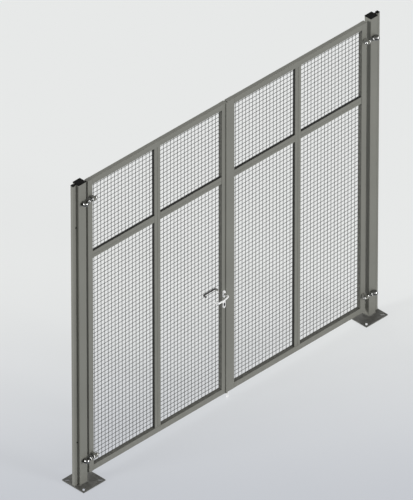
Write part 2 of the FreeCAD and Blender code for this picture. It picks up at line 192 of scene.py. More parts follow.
class GateColours(bpy.types.PropertyGroup):
    """Base colours of the finishes, and their wear and dust."""

    paint: colour("Paint", "Powder coat of the posts and leaf frames", (0.207, 0.207, 0.182))
    wire: colour("Wire Paint", "Powder coat of the mesh wires", (0.045, 0.045, 0.040))
    # A darker colour than the frame's, on the base plates and on the welds round the posts' feet.
    plate: colour("Plate Paint", "Darker coat of the base plates", (0.080, 0.080, 0.073))
    # Painted shade on the mid bars' sides, laid on as dark strips.
    shade_trim: colour("Trim", "Dark strips on the mid bars' sides", (0.020, 0.020, 0.018))
    # Painted shade on the inner sides of the leaf frames, laid on as strips a little lighter than those on
    # the mid bars.
    shade_lining: colour("Lining", "Strips on the inner sides of the leaf frames", (0.110, 0.110, 0.097))
    plastic: colour("Plastic", "Post caps", (0.005, 0.005, 0.0045))
    scuff: colour("Scuff", "Rubbed edges of the post caps", (0.03, 0.03, 0.03))
    zinc: colour("Zinc", "Plated hinge parts", (0.26, 0.26, 0.255))
    # Pale plating, whose near-white matt colour also paints the bright reflection a plated rod shows.
    bright_zinc: colour("Bright Zinc", "Pale plating of the drop bolt", (0.98, 0.98, 0.97))
    # The steel's near-white colour on a mostly matt finish also paints the bright reflection that satin
    # steel shows.
    steel: colour("Steel", "Satin steel of the front lever and the roses", (0.93, 0.93, 0.92))
    # Painted shade: the back lever, seen through the mesh, is coloured dark for the shade it lies in.
    painted_shade_steel: colour("Dark Steel", "Blackened lever on the back", (0.055, 0.055, 0.053))
    dust: colour("Dust", "Pale dust near the ground", (0.36, 0.35, 0.32))
    dust_reach: length("Dust Reach", "Height over the ground that the dust reaches", 0.28)
    lying_dust: share("Lying Dust", "Amount of dust on faces that look up", 0.05)
    rubbed_gain: number("Rubbed Gain", "How many times paler paint is where it is rubbed", 1.35)
    rubbed_width: length("Rubbed Width", "Width of the rubbed band along edges", 0.0012)
    relief: length("Relief", "Height of a skin's relief at full strength", 0.0004)


class GateStage(bpy.types.PropertyGroup):
    """Floor, light and camera of the picture."""

    floor_far: colour("Far Floor", "Floor behind the gate", (0.884, 0.898, 0.893))
    # The near colour is painted shade: the floor darker in front of the gate and round it.
    floor_near: colour("Near Floor", "Floor in front of the gate", (0.614, 0.637, 0.682))
    floor_depths: lengths("Floor Depths", "Sums of X and Y from near floor to far", (-0.9, 3.3))
    floor_middle: lengths("Floor Middle", "Point that the near floor lies round", (1.2, 0.0, 0.0))
    floor_fade: lengths("Floor Fade", "Distances from there, from near floor to far", (2.5, 9.0))
    floor_glow: share("Floor Glow", "Part of the floor's colour that no shadow darkens", 0.7)
    floor_radius: length("Floor Radius", "Radius of the floor", 400.0)
    floor_drop: length("Floor Drop", "How far the floor lies under the base plates", 0.0004)
    backdrop: colour("Backdrop", "What the camera and the metal see past the floor", (0.80, 0.81, 0.805))
    ambient: number("Ambient", "Even light from all round", 0.36)
    side_light: number("Side Light", "Strength of the soft low light from the left", 2.15)
    side_from: heading("Side From", "Where that light comes from", (-0.63, 0.2, 0.15))
    front_light: number("Front Light", "Strength of the soft low light from the front", 1.68)
    front_from: heading("Front From", "Where that light comes from", (0.3, -1.0, 0.3))
    back_light: number("Back Light", "Strength of the weak light from behind", 0.6)
    back_from: heading("Back From", "Where that light comes from", (0.35, 1.0, 0.15))
    softness: angle("Softness", "Spread of the lights", 18)
    azimuth: angle("Azimuth", "Turn of the camera round the gate", -45)
    elevation: angle("Elevation", "Height of the camera over the gate", 35.264)
    distance: length("Distance", "Distance of the camera from the point it aims at", 100.284)
    sight: number("Sight", "How many times that distance the camera sees", 4.0)
    lens: FloatProperty(name="Lens", description="Focal length, long enough for a nearly parallel view",
                        default=1200.0, unit="CAMERA")
    aim: FloatVectorProperty(name="Aim", description="Point in the middle of the picture",
                             default=(1.04503, 0.0, 1.1779), size=3, subtype="TRANSLATION")


# Shared surface effects, as shader node groups


def new_group(name, inputs, outputs):
    """An empty shader node group with value sockets, or colour sockets where the default is a triple."""
    tree = bpy.data.node_groups.new(name, "ShaderNodeTree")
    for way, sockets in (("INPUT", inputs), ("OUTPUT", outputs)):
        for label, default in sockets.items():
            is_colour = isinstance(default, tuple)
            socket = tree.interface.new_socket(
                label, in_out=way, socket_type="NodeSocketColor" if is_colour else "NodeSocketFloat")
            socket.default_value = (*default, 1.0) if is_colour else default
    return tree, tree.nodes.new("NodeGroupInput").outputs, tree.nodes.new("NodeGroupOutput").inputs


def skin_group(name, grey, roughness):
    """An empty group for a skin: colour and roughness go in, and come out varied and with a height."""
    base = (grey, grey, grey)
    return new_group(name, {"Colour": base, "Roughness": roughness},
                     {"Colour": base, "Roughness": roughness, "Height": 0.0})


def add_node(tree, kind, settings=None, **links):
    """A node with its settings, and its named inputs set to values or linked to sockets."""
    item = tree.nodes.new(kind)
    for key, value in (settings or {}).items():
        setattr(item, key, value)
    for label, value in links.items():
        socket = item.inputs[int(label[1:]) if label[0] == "_" else label.replace("_", " ")]
        if isinstance(value, bpy.types.NodeSocket):
            tree.links.new(value, socket)
        else:
            socket.default_value = value
    return item


def connect(tree, inputs, **sockets):
    """Link sockets to named inputs."""
    for label, socket in sockets.items():
        tree.links.new(socket, inputs[label.replace("_", " ")])


def noise(tree, place, scale, detail=2.0):
    """Soft noise of a given number of lumps per metre."""
    return add_node(tree, "ShaderNodeTexNoise", Vector=place, Scale=scale, Detail=detail).outputs["Fac"]


def spread_range(tree, value, low, high, start=0.3, end=0.7):
    """A value from one range carried over to another, held at its ends."""
    return add_node(tree, "ShaderNodeMapRange", Value=value, From_Min=start, From_Max=end,
                    To_Min=low, To_Max=high).outputs["Result"]


def smooth_rise(tree, value, start, end):
    """Nought before the start of a range and one after its end, with a smooth rise between."""
    return add_node(tree, "ShaderNodeMapRange", {"interpolation_type": "SMOOTHSTEP"}, Value=value,
                    From_Min=start, From_Max=end).outputs["Result"]


def combine(tree, operation, first, second):
    """Two values combined by a math operation."""
    return add_node(tree, "ShaderNodeMath", {"operation": operation}, _0=first, _1=second).outputs["Value"]


def product(tree, first, second):
    """Two values multiplied."""
    return combine(tree, "MULTIPLY", first, second)


def scaled(tree, tone, factor):
    """A colour times a factor."""
    return add_node(tree, "ShaderNodeVectorMath", {"operation": "SCALE"}, _0=tone,
                    Scale=factor).outputs["Vector"]


def blend(tree, mask, under, over):
    """One colour laid over another by a mask, through the colour sockets of a mix node."""
    return add_node(tree, "ShaderNodeMix", {"data_type": "RGBA"}, _0=mask, _6=under, _7=over).outputs[2]


def object_place(tree):
    """Object coordinates."""
    return tree.nodes.new("ShaderNodeTexCoord").outputs["Object"]


def coat_group():
    """Powder coat: broad drift and fine speckle in tone, uneven gloss, and the peel of its skin."""
    tree, given, result = skin_group("powder_coat", 0.2, 0.45)
    place = object_place(tree)
    drift = spread_range(tree, noise(tree, place, 2.3, 3.0), 0.95, 1.05)
    speckle = spread_range(tree, noise(tree, place, 1100.0), 0.93, 1.07)
    smear = spread_range(tree, noise(tree, place, 14.0, 4.0), 0.86, 1.16)
    connect(tree, result, Colour=scaled(tree, given["Colour"], product(tree, drift, speckle)),
            Roughness=product(tree, given["Roughness"], smear), Height=noise(tree, place, 620.0, 1.0))


def dust_group():
    """Dust: strongest near the ground and on faces that look up, broken into patches."""
    tree, given, result = new_group("settled_dust", {"Reach": 0.3, "Lying": 0.25}, {"Mask": 0.0})
    coordinates = tree.nodes.new("ShaderNodeTexCoord").outputs
    place = coordinates["Object"]
    height = add_node(tree, "ShaderNodeSeparateXYZ", Vector=place).outputs["Z"]
    low = spread_range(tree, height, 0.22, 0.0, 0.0, given["Reach"])
    facing = add_node(tree, "ShaderNodeSeparateXYZ", Vector=coordinates["Normal"]).outputs["Z"]
    lying = product(tree, spread_range(tree, facing, 0.0, 1.0, 0.5, 1.0), given["Lying"])
    patches = spread_range(tree, noise(tree, place, 38.0, 6.0), 0.15, 1.0, 0.35, 0.7)
    connect(tree, result, Mask=product(tree, combine(tree, "MAXIMUM", low, lying), patches))


def wear_group():
    """Rubbed edges: where a rounded normal leaves the true one, broken up by scratches."""
    tree, given, result = new_group("rubbed_edges", {"Width": 0.0012}, {"Mask": 0.0})
    rounded = add_node(tree, "ShaderNodeBevel", {"samples": 4}, Radius=given["Width"]).outputs["Normal"]
    true = tree.nodes.new("ShaderNodeNewGeometry").outputs["Normal"]
    match = add_node(tree, "ShaderNodeVectorMath", {"operation": "DOT_PRODUCT"}, _0=rounded, _1=true)
    edge = spread_range(tree, match.outputs["Value"], 1.0, 0.0, 0.75, 0.97)
    scratches = spread_range(tree, noise(tree, object_place(tree), 130.0, 5.0), 0.0, 1.0, 0.42, 0.62)
    connect(tree, result, Mask=product(tree, edge, scratches))


def plating_group():
    """Zinc plating: small cloudy fields that differ in tone and gloss, with fine pitting."""
    tree, given, result = skin_group("zinc_plating", 0.6, 0.3)
    place = object_place(tree)
    fields = add_node(tree, "ShaderNodeTexVoronoi", {"feature": "F1"}, Vector=place, Scale=230.0)
    shade = add_node(tree, "ShaderNodeSeparateColor", Color=fields.outputs["Color"]).outputs["Red"]
    clouds = noise(tree, place, 90.0, 4.0)
    tone = product(tree, spread_range(tree, shade, 0.90, 1.06, 0.0, 1.0),
                   spread_range(tree, clouds, 0.88, 1.1))
    smear = spread_range(tree, clouds, 0.8, 1.35)
    connect(tree, result, Colour=scaled(tree, given["Colour"], tone),
            Roughness=product(tree, given["Roughness"], smear), Height=noise(tree, place, 1400.0, 2.0))


def satin_group():
    """Satin steel: fine brushing along the gate's length, with faint finger marks."""
    tree, given, result = skin_group("satin_brushing", 0.7, 0.25)
    place = object_place(tree)
    along = add_node(tree, "ShaderNodeMapping", Vector=place, Scale=(0.03, 1.0, 1.0)).outputs["Vector"]
    strokes = noise(tree, along, 2600.0, 3.0)
    marks = noise(tree, place, 55.0, 3.0)
    tone = product(tree, spread_range(tree, strokes, 0.93, 1.05), spread_range(tree, marks, 0.95, 1.03))
    smear = spread_range(tree, marks, 0.85, 1.3)
    connect(tree, result, Colour=scaled(tree, given["Colour"], tone),
            Roughness=product(tree, given["Roughness"], smear), Height=strokes)


def grain_group():
    """Moulded plastic, and the strips of painted shade: a pebbled skin with scuffs that catch the light."""
    tree, given, result = skin_group("moulded_grain", 0.02, 0.5)
    place = object_place(tree)
    pebbles = add_node(tree, "ShaderNodeTexVoronoi", {"feature": "SMOOTH_F1"}, Vector=place, Scale=900.0)
    scuffs = noise(tree, place, 70.0, 6.0)
    smear = spread_range(tree, scuffs, 0.85, 1.2)
    connect(tree, result, Colour=scaled(tree, given["Colour"], spread_range(tree, scuffs, 0.75, 1.5)),
            Roughness=product(tree, given["Roughness"], smear), Height=pebbles.outputs["Distance"])


def new_finish(name, skin, base, roughness, bump, metallic=0.0, specular=0.5, wear=None, dusty=False):
    """A material from a skin group, a base colour and a roughness, with rubbed edges and dust over it."""
    colours = bpy.context.scene.gate_colours
    groups = bpy.data.node_groups
    material = bpy.data.materials.new(f"{name}_finish")
    material.use_nodes = True
    material.diffuse_color = (*base, 1.0)
    tree = material.node_tree
    shader = tree.nodes["Principled BSDF"].inputs
    shader["Metallic"].default_value = metallic
    shader["Specular IOR Level"].default_value = specular
    surface = add_node(tree, "ShaderNodeGroup", {"node_tree": groups[skin]}, Colour=(*base, 1.0),
                       Roughness=roughness).outputs
    layers = []
    if wear is not None:
        layers.append(("rubbed_edges", {"Width": colours.rubbed_width}, wear))
    if dusty:
        amounts = {"Reach": colours.dust_reach, "Lying": colours.lying_dust}
        layers.append(("settled_dust", amounts, colours.dust))
    tone = surface["Colour"]
    for group, amounts, over in layers:
        mask = add_node(tree, "ShaderNodeGroup", {"node_tree": groups[group]}, **amounts).outputs["Mask"]
        tone = blend(tree, mask, tone, (*over, 1.0))
    relief = add_node(tree, "ShaderNodeBump", Strength=bump, Distance=colours.relief,
                      Height=surface["Height"])
    connect(tree, shader, Base_Color=tone, Roughness=surface["Roughness"], Normal=relief.outputs["Normal"])


def finish(name):
    """The material of a finish."""
    return bpy.data.materials[f"{name}_finish"]


class GATE_OT_finishes(bpy.types.Operator):
    """Make the finishes and give each CAD node the one that its slot names, but each lever its own"""

    bl_idname = "gate.finishes"
    bl_label = "Finishes"

    def execute(self, context):
        colours = context.scene.gate_colours
        for make in (coat_group, dust_group, wear_group, plating_group, satin_group, grain_group):
            make()
        rubbed = tuple(min(1.0, colours.rubbed_gain * part) for part in colours.paint)
        coat, grain, plating, brushing = "powder_coat", "moulded_grain", "zinc_plating", "satin_brushing"
        new_finish("frame_paint", coat, colours.paint, roughness=0.46, bump=0.12, specular=0.3,
                   wear=rubbed, dusty=True)
        new_finish("mesh_paint", coat, colours.wire, roughness=0.48, bump=0.10, specular=0.2, dusty=True)
        new_finish("dark_paint", coat, colours.plate, roughness=0.48, bump=0.14, specular=0.4,
                   wear=rubbed, dusty=True)
        new_finish("black_plastic", grain, colours.plastic, roughness=0.60, bump=0.20, specular=0.06,
                   wear=colours.scuff)
        # Painted shade: the darkest strips, on the mid bars' sides and in the strike pocket.
        new_finish("dark_shade_trim", grain, colours.shade_trim, roughness=0.62, bump=0.16, specular=0.25)
        # Painted shade: the strips along the inner sides of the leaf frames.
        new_finish("shade_lining", grain, colours.shade_lining, roughness=0.62, bump=0.16, specular=0.25)
        new_finish("zinc", plating, colours.zinc, roughness=0.17, bump=0.08, metallic=1.0)
        # Mostly painted reflection: a near-white, non-metal colour gives the drop bolt the brightness of a
        # shining plated rod.
        new_finish("bright_zinc", plating, colours.bright_zinc, roughness=0.30, bump=0.05)
        # Partly painted reflection: the near-white base colour carries most of the steel's brightness.
        new_finish("satin_steel", brushing, colours.steel, roughness=0.26, bump=0.10, metallic=0.1)
        new_finish("lever_steel", brushing, colours.steel, roughness=0.40, bump=0.10, metallic=0.3)
        new_finish("painted_shade_steel", brushing, colours.painted_shade_steel, roughness=0.36, bump=0.10, specular=0.4)
        finishes = {row["node"]: row["material_slot"] for row in frame["record"]["subparts"]}
        # The back lever's dark colour is painted shade; the front lever gets a brighter steel.
        finishes.update(front_lever="lever_steel", back_lever="painted_shade_steel")
        for node, name in finishes.items():
            for socket in frame["nodes"][node].material_slots:
                socket.material = finish(name)
        return {"FINISHED"}


# Shapes that several pieces share


def join(bm, work):
    """Put the shape in one bmesh into another, and free the first."""
    shape = bpy.data.meshes.new("work")
    work.to_mesh(shape)
    work.free()
    bm.from_mesh(shape)
    bpy.data.meshes.remove(shape)


def round_edges(work, lines, edge, segments):
    """Round some edges of a bmesh."""
    bmesh.ops.bevel(work, geom=lines, offset=edge, affect="EDGES", segments=segments, profile=0.5,
                    material=-1)


def block(bm, low, high, edge, segments=2):
    """A block between two corners, with its edges rounded."""
    low, high = Vector(low), Vector(high)
    work = bmesh.new()
    place = Matrix.LocRotScale((low + high) / 2, None, high - low)
    bmesh.ops.create_cube(work, size=1.0, matrix=place)
    round_edges(work, work.edges[:], edge, segments)
    join(bm, work)


def rod(bm, start, end, radius, sides, edge=0.0, segments=2, roll=0.0):
    """A rod between two points, with its ends rounded, rolled about its length."""
    start, end = Vector(start), Vector(end)
    along = end - start
    work = bmesh.new()
    place = Matrix.LocRotScale((start + end) / 2, along.to_track_quat("Z", "Y"), None)
    bmesh.ops.create_cone(work, cap_ends=True, segments=sides, radius1=radius, radius2=radius,
                          depth=along.length, matrix=place @ Matrix.Rotation(roll, 4, "Z"))
    if edge:
        ahead = along.normalized()
        rims = [line for line in work.edges
                if abs((line.verts[0].co - line.verts[1].co).dot(ahead)) < TOLERANCE]
        round_edges(work, rims, edge, segments)
    join(bm, work)


def turned(bm, profile, place, sides):
    """A turned solid: a profile of radii and heights spun round the Z axis of a place."""
    work = bmesh.new()
    points = [work.verts.new((radius, 0.0, height)) for radius, height in profile]
    lines = [work.edges.new(pair) for pair in zip(points, points[1:])]
    bmesh.ops.spin(work, geom=points + lines, cent=(0, 0, 0), axis=(0, 0, 1), angle=math.tau, steps=sides,
                   use_merge=True)
    bmesh.ops.remove_doubles(work, verts=work.verts[:], dist=MERGE_DISTANCE)
    bmesh.ops.transform(work, matrix=place, verts=work.verts[:])
    join(bm, work)


def ring(bm, outer, inner, height, shoulder, edge, place, sides):
    """A ring round the Z axis of a place, with slanted shoulders of a given inset and height."""
    work = bmesh.new()
    half = height / 2
    top, belt = outer - shoulder[0], half - shoulder[1]
    turned(work, [(inner, -half), (top, -half), (outer, -belt), (outer, belt), (top, half), (inner, half),
                  (inner, -half)], Matrix(), sides)
    rims = [line for line in work.edges
            if all(vert.co.xy.length > inner + TOLERANCE for vert in line.verts)
            and abs(line.verts[0].co.z - line.verts[1].co.z) < TOLERANCE
            and abs(line.verts[0].co.xy.length - line.verts[1].co.xy.length) < TOLERANCE]
    round_edges(work, rims, edge, 4)
    bmesh.ops.transform(work, matrix=place, verts=work.verts[:])
    join(bm, work)


def finish_piece(name, bm, material, body, *replaced):
    """Turn a bmesh into a piece that rides on a body and stands for the nodes it replaces."""
    bmesh.ops.remove_doubles(bm, verts=bm.verts[:], dist=MERGE_DISTANCE)
    bmesh.ops.recalc_face_normals(bm, faces=bm.faces[:])
    mesh = bpy.data.meshes.new(name)
    bm.to_mesh(mesh)
    bm.free()
    mesh.shade_smooth()
    mesh.set_sharp_from_angle(angle=SHARP_ANGLE)
    mesh.materials.append(finish(material))
    piece = bpy.data.objects.new(name, mesh)
    bpy.context.scene.collection.objects.link(piece)
    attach(piece, body)
    if replaced:
        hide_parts(*replaced)


# Pieces


def wire_places(low, high, width, pitch):
    """Middles of evenly spaced wires that fill a width, no further apart than the pitch."""
    steps = math.floor((high - low) / pitch) + 1
    step = (high - low - width) / steps
    return [low + width / 2 + step * count for count in range(steps + 1)]


class GATE_OT_mesh_infill(bpy.types.Operator):
    """Model the round wires of the welded mesh in both leaves"""

    bl_idname = "gate.mesh_infill"
    bl_label = "Mesh Infill"

    def execute(self, context):
        sizes = context.scene.gate_sizes
        width, pitch, sides = sizes.wire_diameter, sizes.mesh_pitch, sizes.wire_sides
        for side in SIDES:
            bm = bmesh.new()
            low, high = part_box(f"{side}_mesh_upright_wires")
            depth = (low.y + high.y) / 2 + sizes.wire_sink / 2
            for x in wire_places(low.x, high.x, width, pitch):
                rod(bm, (x, depth, low.z), (x, depth, high.z), width / 2, sides)
            low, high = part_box(f"{side}_mesh_cross_wires")
            depth = (low.y + high.y) / 2 - sizes.wire_sink / 2
            for z in wire_places(low.z, high.z, width, pitch):
                rod(bm, (low.x, depth, z), (high.x, depth, z), width / 2, sides)
            finish_piece(f"{side}_mesh_infill", bm, "mesh_paint", f"{side}_leaf",
                         f"{side}_mesh_upright_wires", f"{side}_mesh_cross_wires")
        return {"FINISHED"}


def grooved_bar(bm, low, high, across, sizes):
    """A flat bar with rounded edges and a fine groove along the middle of its front, across X or Z."""
    work = bmesh.new()
    block(work, low, high, sizes.bar_edge)
    middle = (low + high) / 2
    normal = Vector()
    normal[across] = 1.0
    width, depth = sizes.groove
    for shift in (-width / 2, 0.0, width / 2):
        bmesh.ops.bisect_plane(work, geom=work.verts[:] + work.edges[:] + work.faces[:],
                               dist=MERGE_DISTANCE, plane_co=middle + normal * shift, plane_no=normal)
    floor = [vert for vert in work.verts
             if abs(vert.co[across] - middle[across]) < TOLERANCE and vert.co.y < low.y + TOLERANCE]
    bmesh.ops.translate(work, verts=floor, vec=(0.0, depth, 0.0))
    join(bm, work)


class GATE_OT_mid_bars(bpy.types.Operator):
    """Model the grooved mid bars of both leaves, and the dark strips of painted shade that line the mesh
    openings
    """

    bl_idname = "gate.mid_bars"
    bl_label = "Mid Bars"

    def execute(self, context):
        sizes = context.scene.gate_sizes
        thick, setback, clear, edge = sizes.shade_trim
        for side in SIDES:
            post_low, post_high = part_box(f"{side}_mullion")
            bar_low, bar_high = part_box(f"{side}_transom")
            bm = bmesh.new()
            grooved_bar(bm, post_low, post_high, X, sizes)
            finish_piece(f"{side}_grooved_mullion", bm, "frame_paint", f"{side}_leaf", f"{side}_mullion")
            halves = ((bar_low.x, post_low.x), (post_high.x, bar_high.x))
            bm = bmesh.new()
            for start, end in halves:
                low, high = bar_low.copy(), bar_high.copy()
                low.x, high.x = start, end
                grooved_bar(bm, low, high, Z, sizes)
            finish_piece(f"{side}_grooved_transom", bm, "frame_paint", f"{side}_leaf", f"{side}_transom")
            # Dark strips on the mid bars' sides: painted shade where the sides meet the mesh.
            bm = bmesh.new()
            front, back = post_low.y + setback, post_high.y
            for start, end in ((post_low.z, bar_low.z - clear), (bar_high.z + clear, post_high.z)):
                block(bm, (post_low.x - thick, front, start), (post_low.x, back, end), edge, 1)
                block(bm, (post_high.x, front, start), (post_high.x + thick, back, end), edge, 1)
            front, back = bar_low.y + setback, bar_high.y
            for start, end in halves:
                block(bm, (start, front, bar_low.z - thick), (end, back, bar_low.z), edge, 1)
                block(bm, (start, front, bar_high.z), (end, back, bar_high.z + thick), edge, 1)
            finish_piece(f"{side}_bar_shade_trim", bm, "dark_shade_trim", f"{side}_leaf")
            # Strips along the frame's inner sides: painted shade in the reveals of the openings.
            bm = bmesh.new()
            rail_low, rail_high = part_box(f"{side}_bottom_rail")
            front, back = rail_low.y + setback, rail_high.y - setback
            left, right, bottom, top = rail_low.x, rail_high.x, post_low.z, post_high.z
            for start, end in ((bottom, bar_low.z), (bar_high.z, top)):
                block(bm, (left, front, start), (left + thick, back, end), edge, 1)
                block(bm, (right - thick, front, start), (right, back, end), edge, 1)
            for start, end in ((left + clear, post_low.x), (post_high.x, right - clear)):
                block(bm, (start, front, bottom), (end, back, bottom + thick), edge, 1)
                block(bm, (start, front, top - thick), (end, back, top), edge, 1)
            finish_piece(f"{side}_frame_shade_lining", bm, "shade_lining", f"{side}_leaf")
        return {"FINISHED"}


def thread_profile(start, end, sizes):
    """Radii and distances of a threaded shank with a chamfered end."""
    pitch, depth, chamfer = sizes.thread
    crest, root = sizes.shank_radius, sizes.shank_radius - depth
    flanks = ((root, 0.2), (crest, 0.5), (crest, 0.65), (root, 0.95))
    profile = [(0.0, start), (root, start)]
    for turn in range(math.floor((end - start - pitch) / pitch)):
        profile += [(radius, start + (turn + part) * pitch) for radius, part in flanks]
    return profile + [(root - chamfer, end), (0.0, end)]


class GATE_OT_eyebolts(bpy.types.Operator):
    """Model the threaded eyebolts that carry the leaves, with their nuts"""

    bl_idname = "gate.eyebolts"
    bl_label = "Eyebolts"

    def execute(self, context):
        sizes = context.scene.gate_sizes
        eye, bore, tall = sizes.eye
        radius, thickness, edge = sizes.nut
        for side, sign in zip(SIDES, (1.0, -1.0)):
            along = Matrix.Rotation(sign * math.pi / 2, 4, "Y")
            step = Vector((sign, 0.0, 0.0))
            for height in HEIGHTS:
                node = f"{side}_{height}_eyebolt"
                low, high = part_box(node)
                middle = (low + high) / 2
                end = low.x if side == "left" else high.x
                pin = Vector((end, middle.y, middle.z)) + step * eye
                place = Matrix.Translation(pin)
                reach = high.x - low.x - eye
                bm = bmesh.new()
                ring(bm, eye, bore, tall, sizes.shoulder, sizes.eye_edge, place, EYE_SIDES)
                turned(bm, thread_profile((eye + bore) / 2, reach, sizes), place @ along, SMALL_SIDES)
                for start in sizes.nut_starts:
                    rod(bm, pin + step * start, pin + step * (start + thickness), radius, NUT_SIDES, edge,
                        sizes.nut_steps, math.pi / NUT_SIDES)
                finish_piece(f"{node}_threaded", bm, "zinc", f"{side}_leaf", node)
        return {"FINISHED"}


def oval_rim(work, width, height):
    """The edge loop of an upright oval in the XY plane: two half circles joined by straight sides."""
    loop = bmesh.ops.create_circle(work, segments=ROUND_SIDES, radius=width / 2,
                                   matrix=Matrix.Rotation(math.pi / ROUND_SIDES, 4, "Z"))["verts"]
    for half in (1.0, -1.0):
        bmesh.ops.translate(work, verts=[vert for vert in loop if vert.co.y * half > 0.0],
                            vec=(0.0, half * (height - width) / 2, 0.0))
    return list({line for vert in loop for line in vert.link_edges})


def oval_plate(bm, width, height, thickness, edge, place, opening=None):
    """An oval plate that rises along the Z axis of a place, with rounded rims and maybe an oval opening."""
    work = bmesh.new()
    rim = oval_rim(work, width, height)
    if opening:
        bmesh.ops.bridge_loops(work, edges=rim + oval_rim(work, *opening))
    else:
        bmesh.ops.contextual_create(work, geom=rim)
    top = bmesh.ops.extrude_face_region(work, geom=work.faces[:])["geom"]
    raised = [item for item in top if isinstance(item, bmesh.types.BMVert)]
    bmesh.ops.translate(work, verts=raised, vec=(0.0, 0.0, thickness))
    level = [line for line in work.edges if all(vert.co.z > thickness / 2 for vert in line.verts)]
    work.normal_update()
    round_edges(work, [line for line in level if line.calc_face_angle(0.0) > 1.0], edge, 3)
    bmesh.ops.transform(work, matrix=place, verts=work.verts[:])
    join(bm, work)


def upright_block(bm, face, sign, shape, middle, level, lift=0.0):
    """A block of a given width, height, thickness and rounding on a face that looks along X."""
    width, height, thickness, edge = shape
    near, far = sorted((face + sign * lift, face + sign * (lift + thickness)))
    low = (near, middle - width / 2, level - height / 2)
    high = (far, middle + width / 2, level + height / 2)
    block(bm, low, high, edge)


def screwed_plate(bm, face, sign, shape, middle, level, head, sizes):
    """A plate on a face that looks along X, with a screw near each end."""
    upright_block(bm, face, sign, shape, middle, level)
    radius, inset, edge = sizes.plate_screw
    tip, reach = face + sign * (shape[2] + head), shape[1] / 2 - inset
    for z in (level - reach, level + reach):
        rod(bm, (face, middle, z), (tip, middle, z), radius, SMALL_SIDES, edge)


class GATE_OT_lock(bpy.types.Operator):
    """Model the roses, key cylinders, lever bushes, latch and strike of the lock"""

    bl_idname = "gate.lock"
    bl_label = "Lock"

    def execute(self, context):
        sizes = context.scene.gate_sizes
        bush_radius, bush_length, bush_edge = sizes.bush
        play, key_edge = sizes.cylinder
        for face, sign in (("front", -1.0), ("back", 1.0)):
            turn = Matrix.Rotation(-sign * math.pi / 2, 4, "X")
            for name in ("handle", "key"):
                node = f"{face}_{name}_rose"
                low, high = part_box(node)
                thickness = high.y - low.y
                seat = high.y if sign < 0 else low.y
                middle = Vector(((low.x + high.x) / 2, seat, (low.z + high.z) / 2))
                place = Matrix.Translation(middle) @ turn
                opening = sizes.keyhole[:] if name == "key" else None
                bm = bmesh.new()
                oval_plate(bm, sizes.rose_width, high.z - low.z, thickness, sizes.rose_edge, place, opening)
                finish_piece(f"{face}_{name}_plate", bm, "satin_steel", "left_leaf", node)
                bm = bmesh.new()
                if opening:
                    # The key cylinders are black plastic, and their black also paints the shade inside the
                    # keyholes.
                    width, height = (side - play for side in opening)
                    oval_plate(bm, width, height, sizes.cylinder_rise * thickness, key_edge, place)
                    finish_piece(f"{face}_key_cylinder", bm, "black_plastic", "left_leaf")
                else:
                    out = Vector((0.0, sign, 0.0))
                    start = middle + out * (thickness + sizes.bush_gap)
                    rod(bm, start, start + out * bush_length, bush_radius, ROUND_SIDES, bush_edge)
                    finish_piece(f"{face}_lever_bush", bm, "frame_paint", "lever_handle")
        self.latch(sizes)
        return {"FINISHED"}

    @staticmethod
    def latch(sizes):
        """The latch plate in the active leaf's edge and the strike plate in the passive one's."""
        low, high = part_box("left_lock_stile")
        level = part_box("front_key_rose")[0].z
        middle = (low.y + high.y) / 2
        latch_level = level + sizes.latch_rise
        latch_head, strike_head = sizes.plate_heads
        face = high.x
        bm = bmesh.new()
        screwed_plate(bm, face, 1.0, sizes.latch_plate, middle, level + sizes.plate_rise, latch_head, sizes)
        upright_block(bm, face, 1.0, sizes.latch_bolt, middle, latch_level)
        finish_piece("latch_plate", bm, "satin_steel", "left_leaf")
        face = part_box("right_lock_stile")[0].x
        bm = bmesh.new()
        screwed_plate(bm, face, -1.0, sizes.strike_plate, middle, latch_level, strike_head, sizes)
        finish_piece("strike_plate", bm, "satin_steel", "right_leaf")
        # The strike pocket is painted shade: a dark block standing for the shaded hole that takes the
        # latch.
        bm = bmesh.new()
        upright_block(bm, face, -1.0, sizes.strike_pocket, middle, latch_level, sizes.pocket_lift)
        finish_piece("strike_pocket", bm, "dark_shade_trim", "right_leaf")


class GATE_OT_drop_bolt(bpy.types.Operator):
    """Model the drop bolt's turned rod and knob"""

    bl_idname = "gate.drop_bolt"
    bl_label = "Drop Bolt"

    def execute(self, context):
        sizes = context.scene.gate_sizes
        low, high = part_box("drop_bolt")
        radius, chamfer = sizes.bolt_radius, sizes.bolt_chamfer
        tip, taper = sizes.tip
        foot = Vector(((low.x + high.x) / 2, low.y + radius, low.z))
        tall = high.z - low.z
        bm = bmesh.new()
        turned(bm, [(0.0, 0.0), (radius - taper, 0.0), (radius - sizes.tip_belly * taper, chamfer),
                    (radius, tip), (radius, tall - chamfer), (radius - chamfer, tall), (0.0, tall)],
               Matrix.Translation(foot), ROUND_SIDES)
        rise, neck, grip = sizes.knob
        inner, outer = sizes.knob_edges
        knob = foot + Vector((0.0, 0.0, rise))
        head, end = (high.x - low.x) / 2, high.y - knob.y
        start = end - grip
        turned(bm, [(0.0, 0.0), (neck, 0.0), (neck, start), (head - inner, start), (head, start + inner),
                    (head * sizes.knob_waist, (start + end) / 2), (head, end - outer), (head - outer, end),
                    (0.0, end)],
               Matrix.Translation(knob) @ Matrix.Rotation(-math.pi / 2, 4, "X"), ROUND_SIDES)
        finish_piece("drop_bolt_rod", bm, "bright_zinc", "drop_bolt", "drop_bolt")
        return {"FINISHED"}


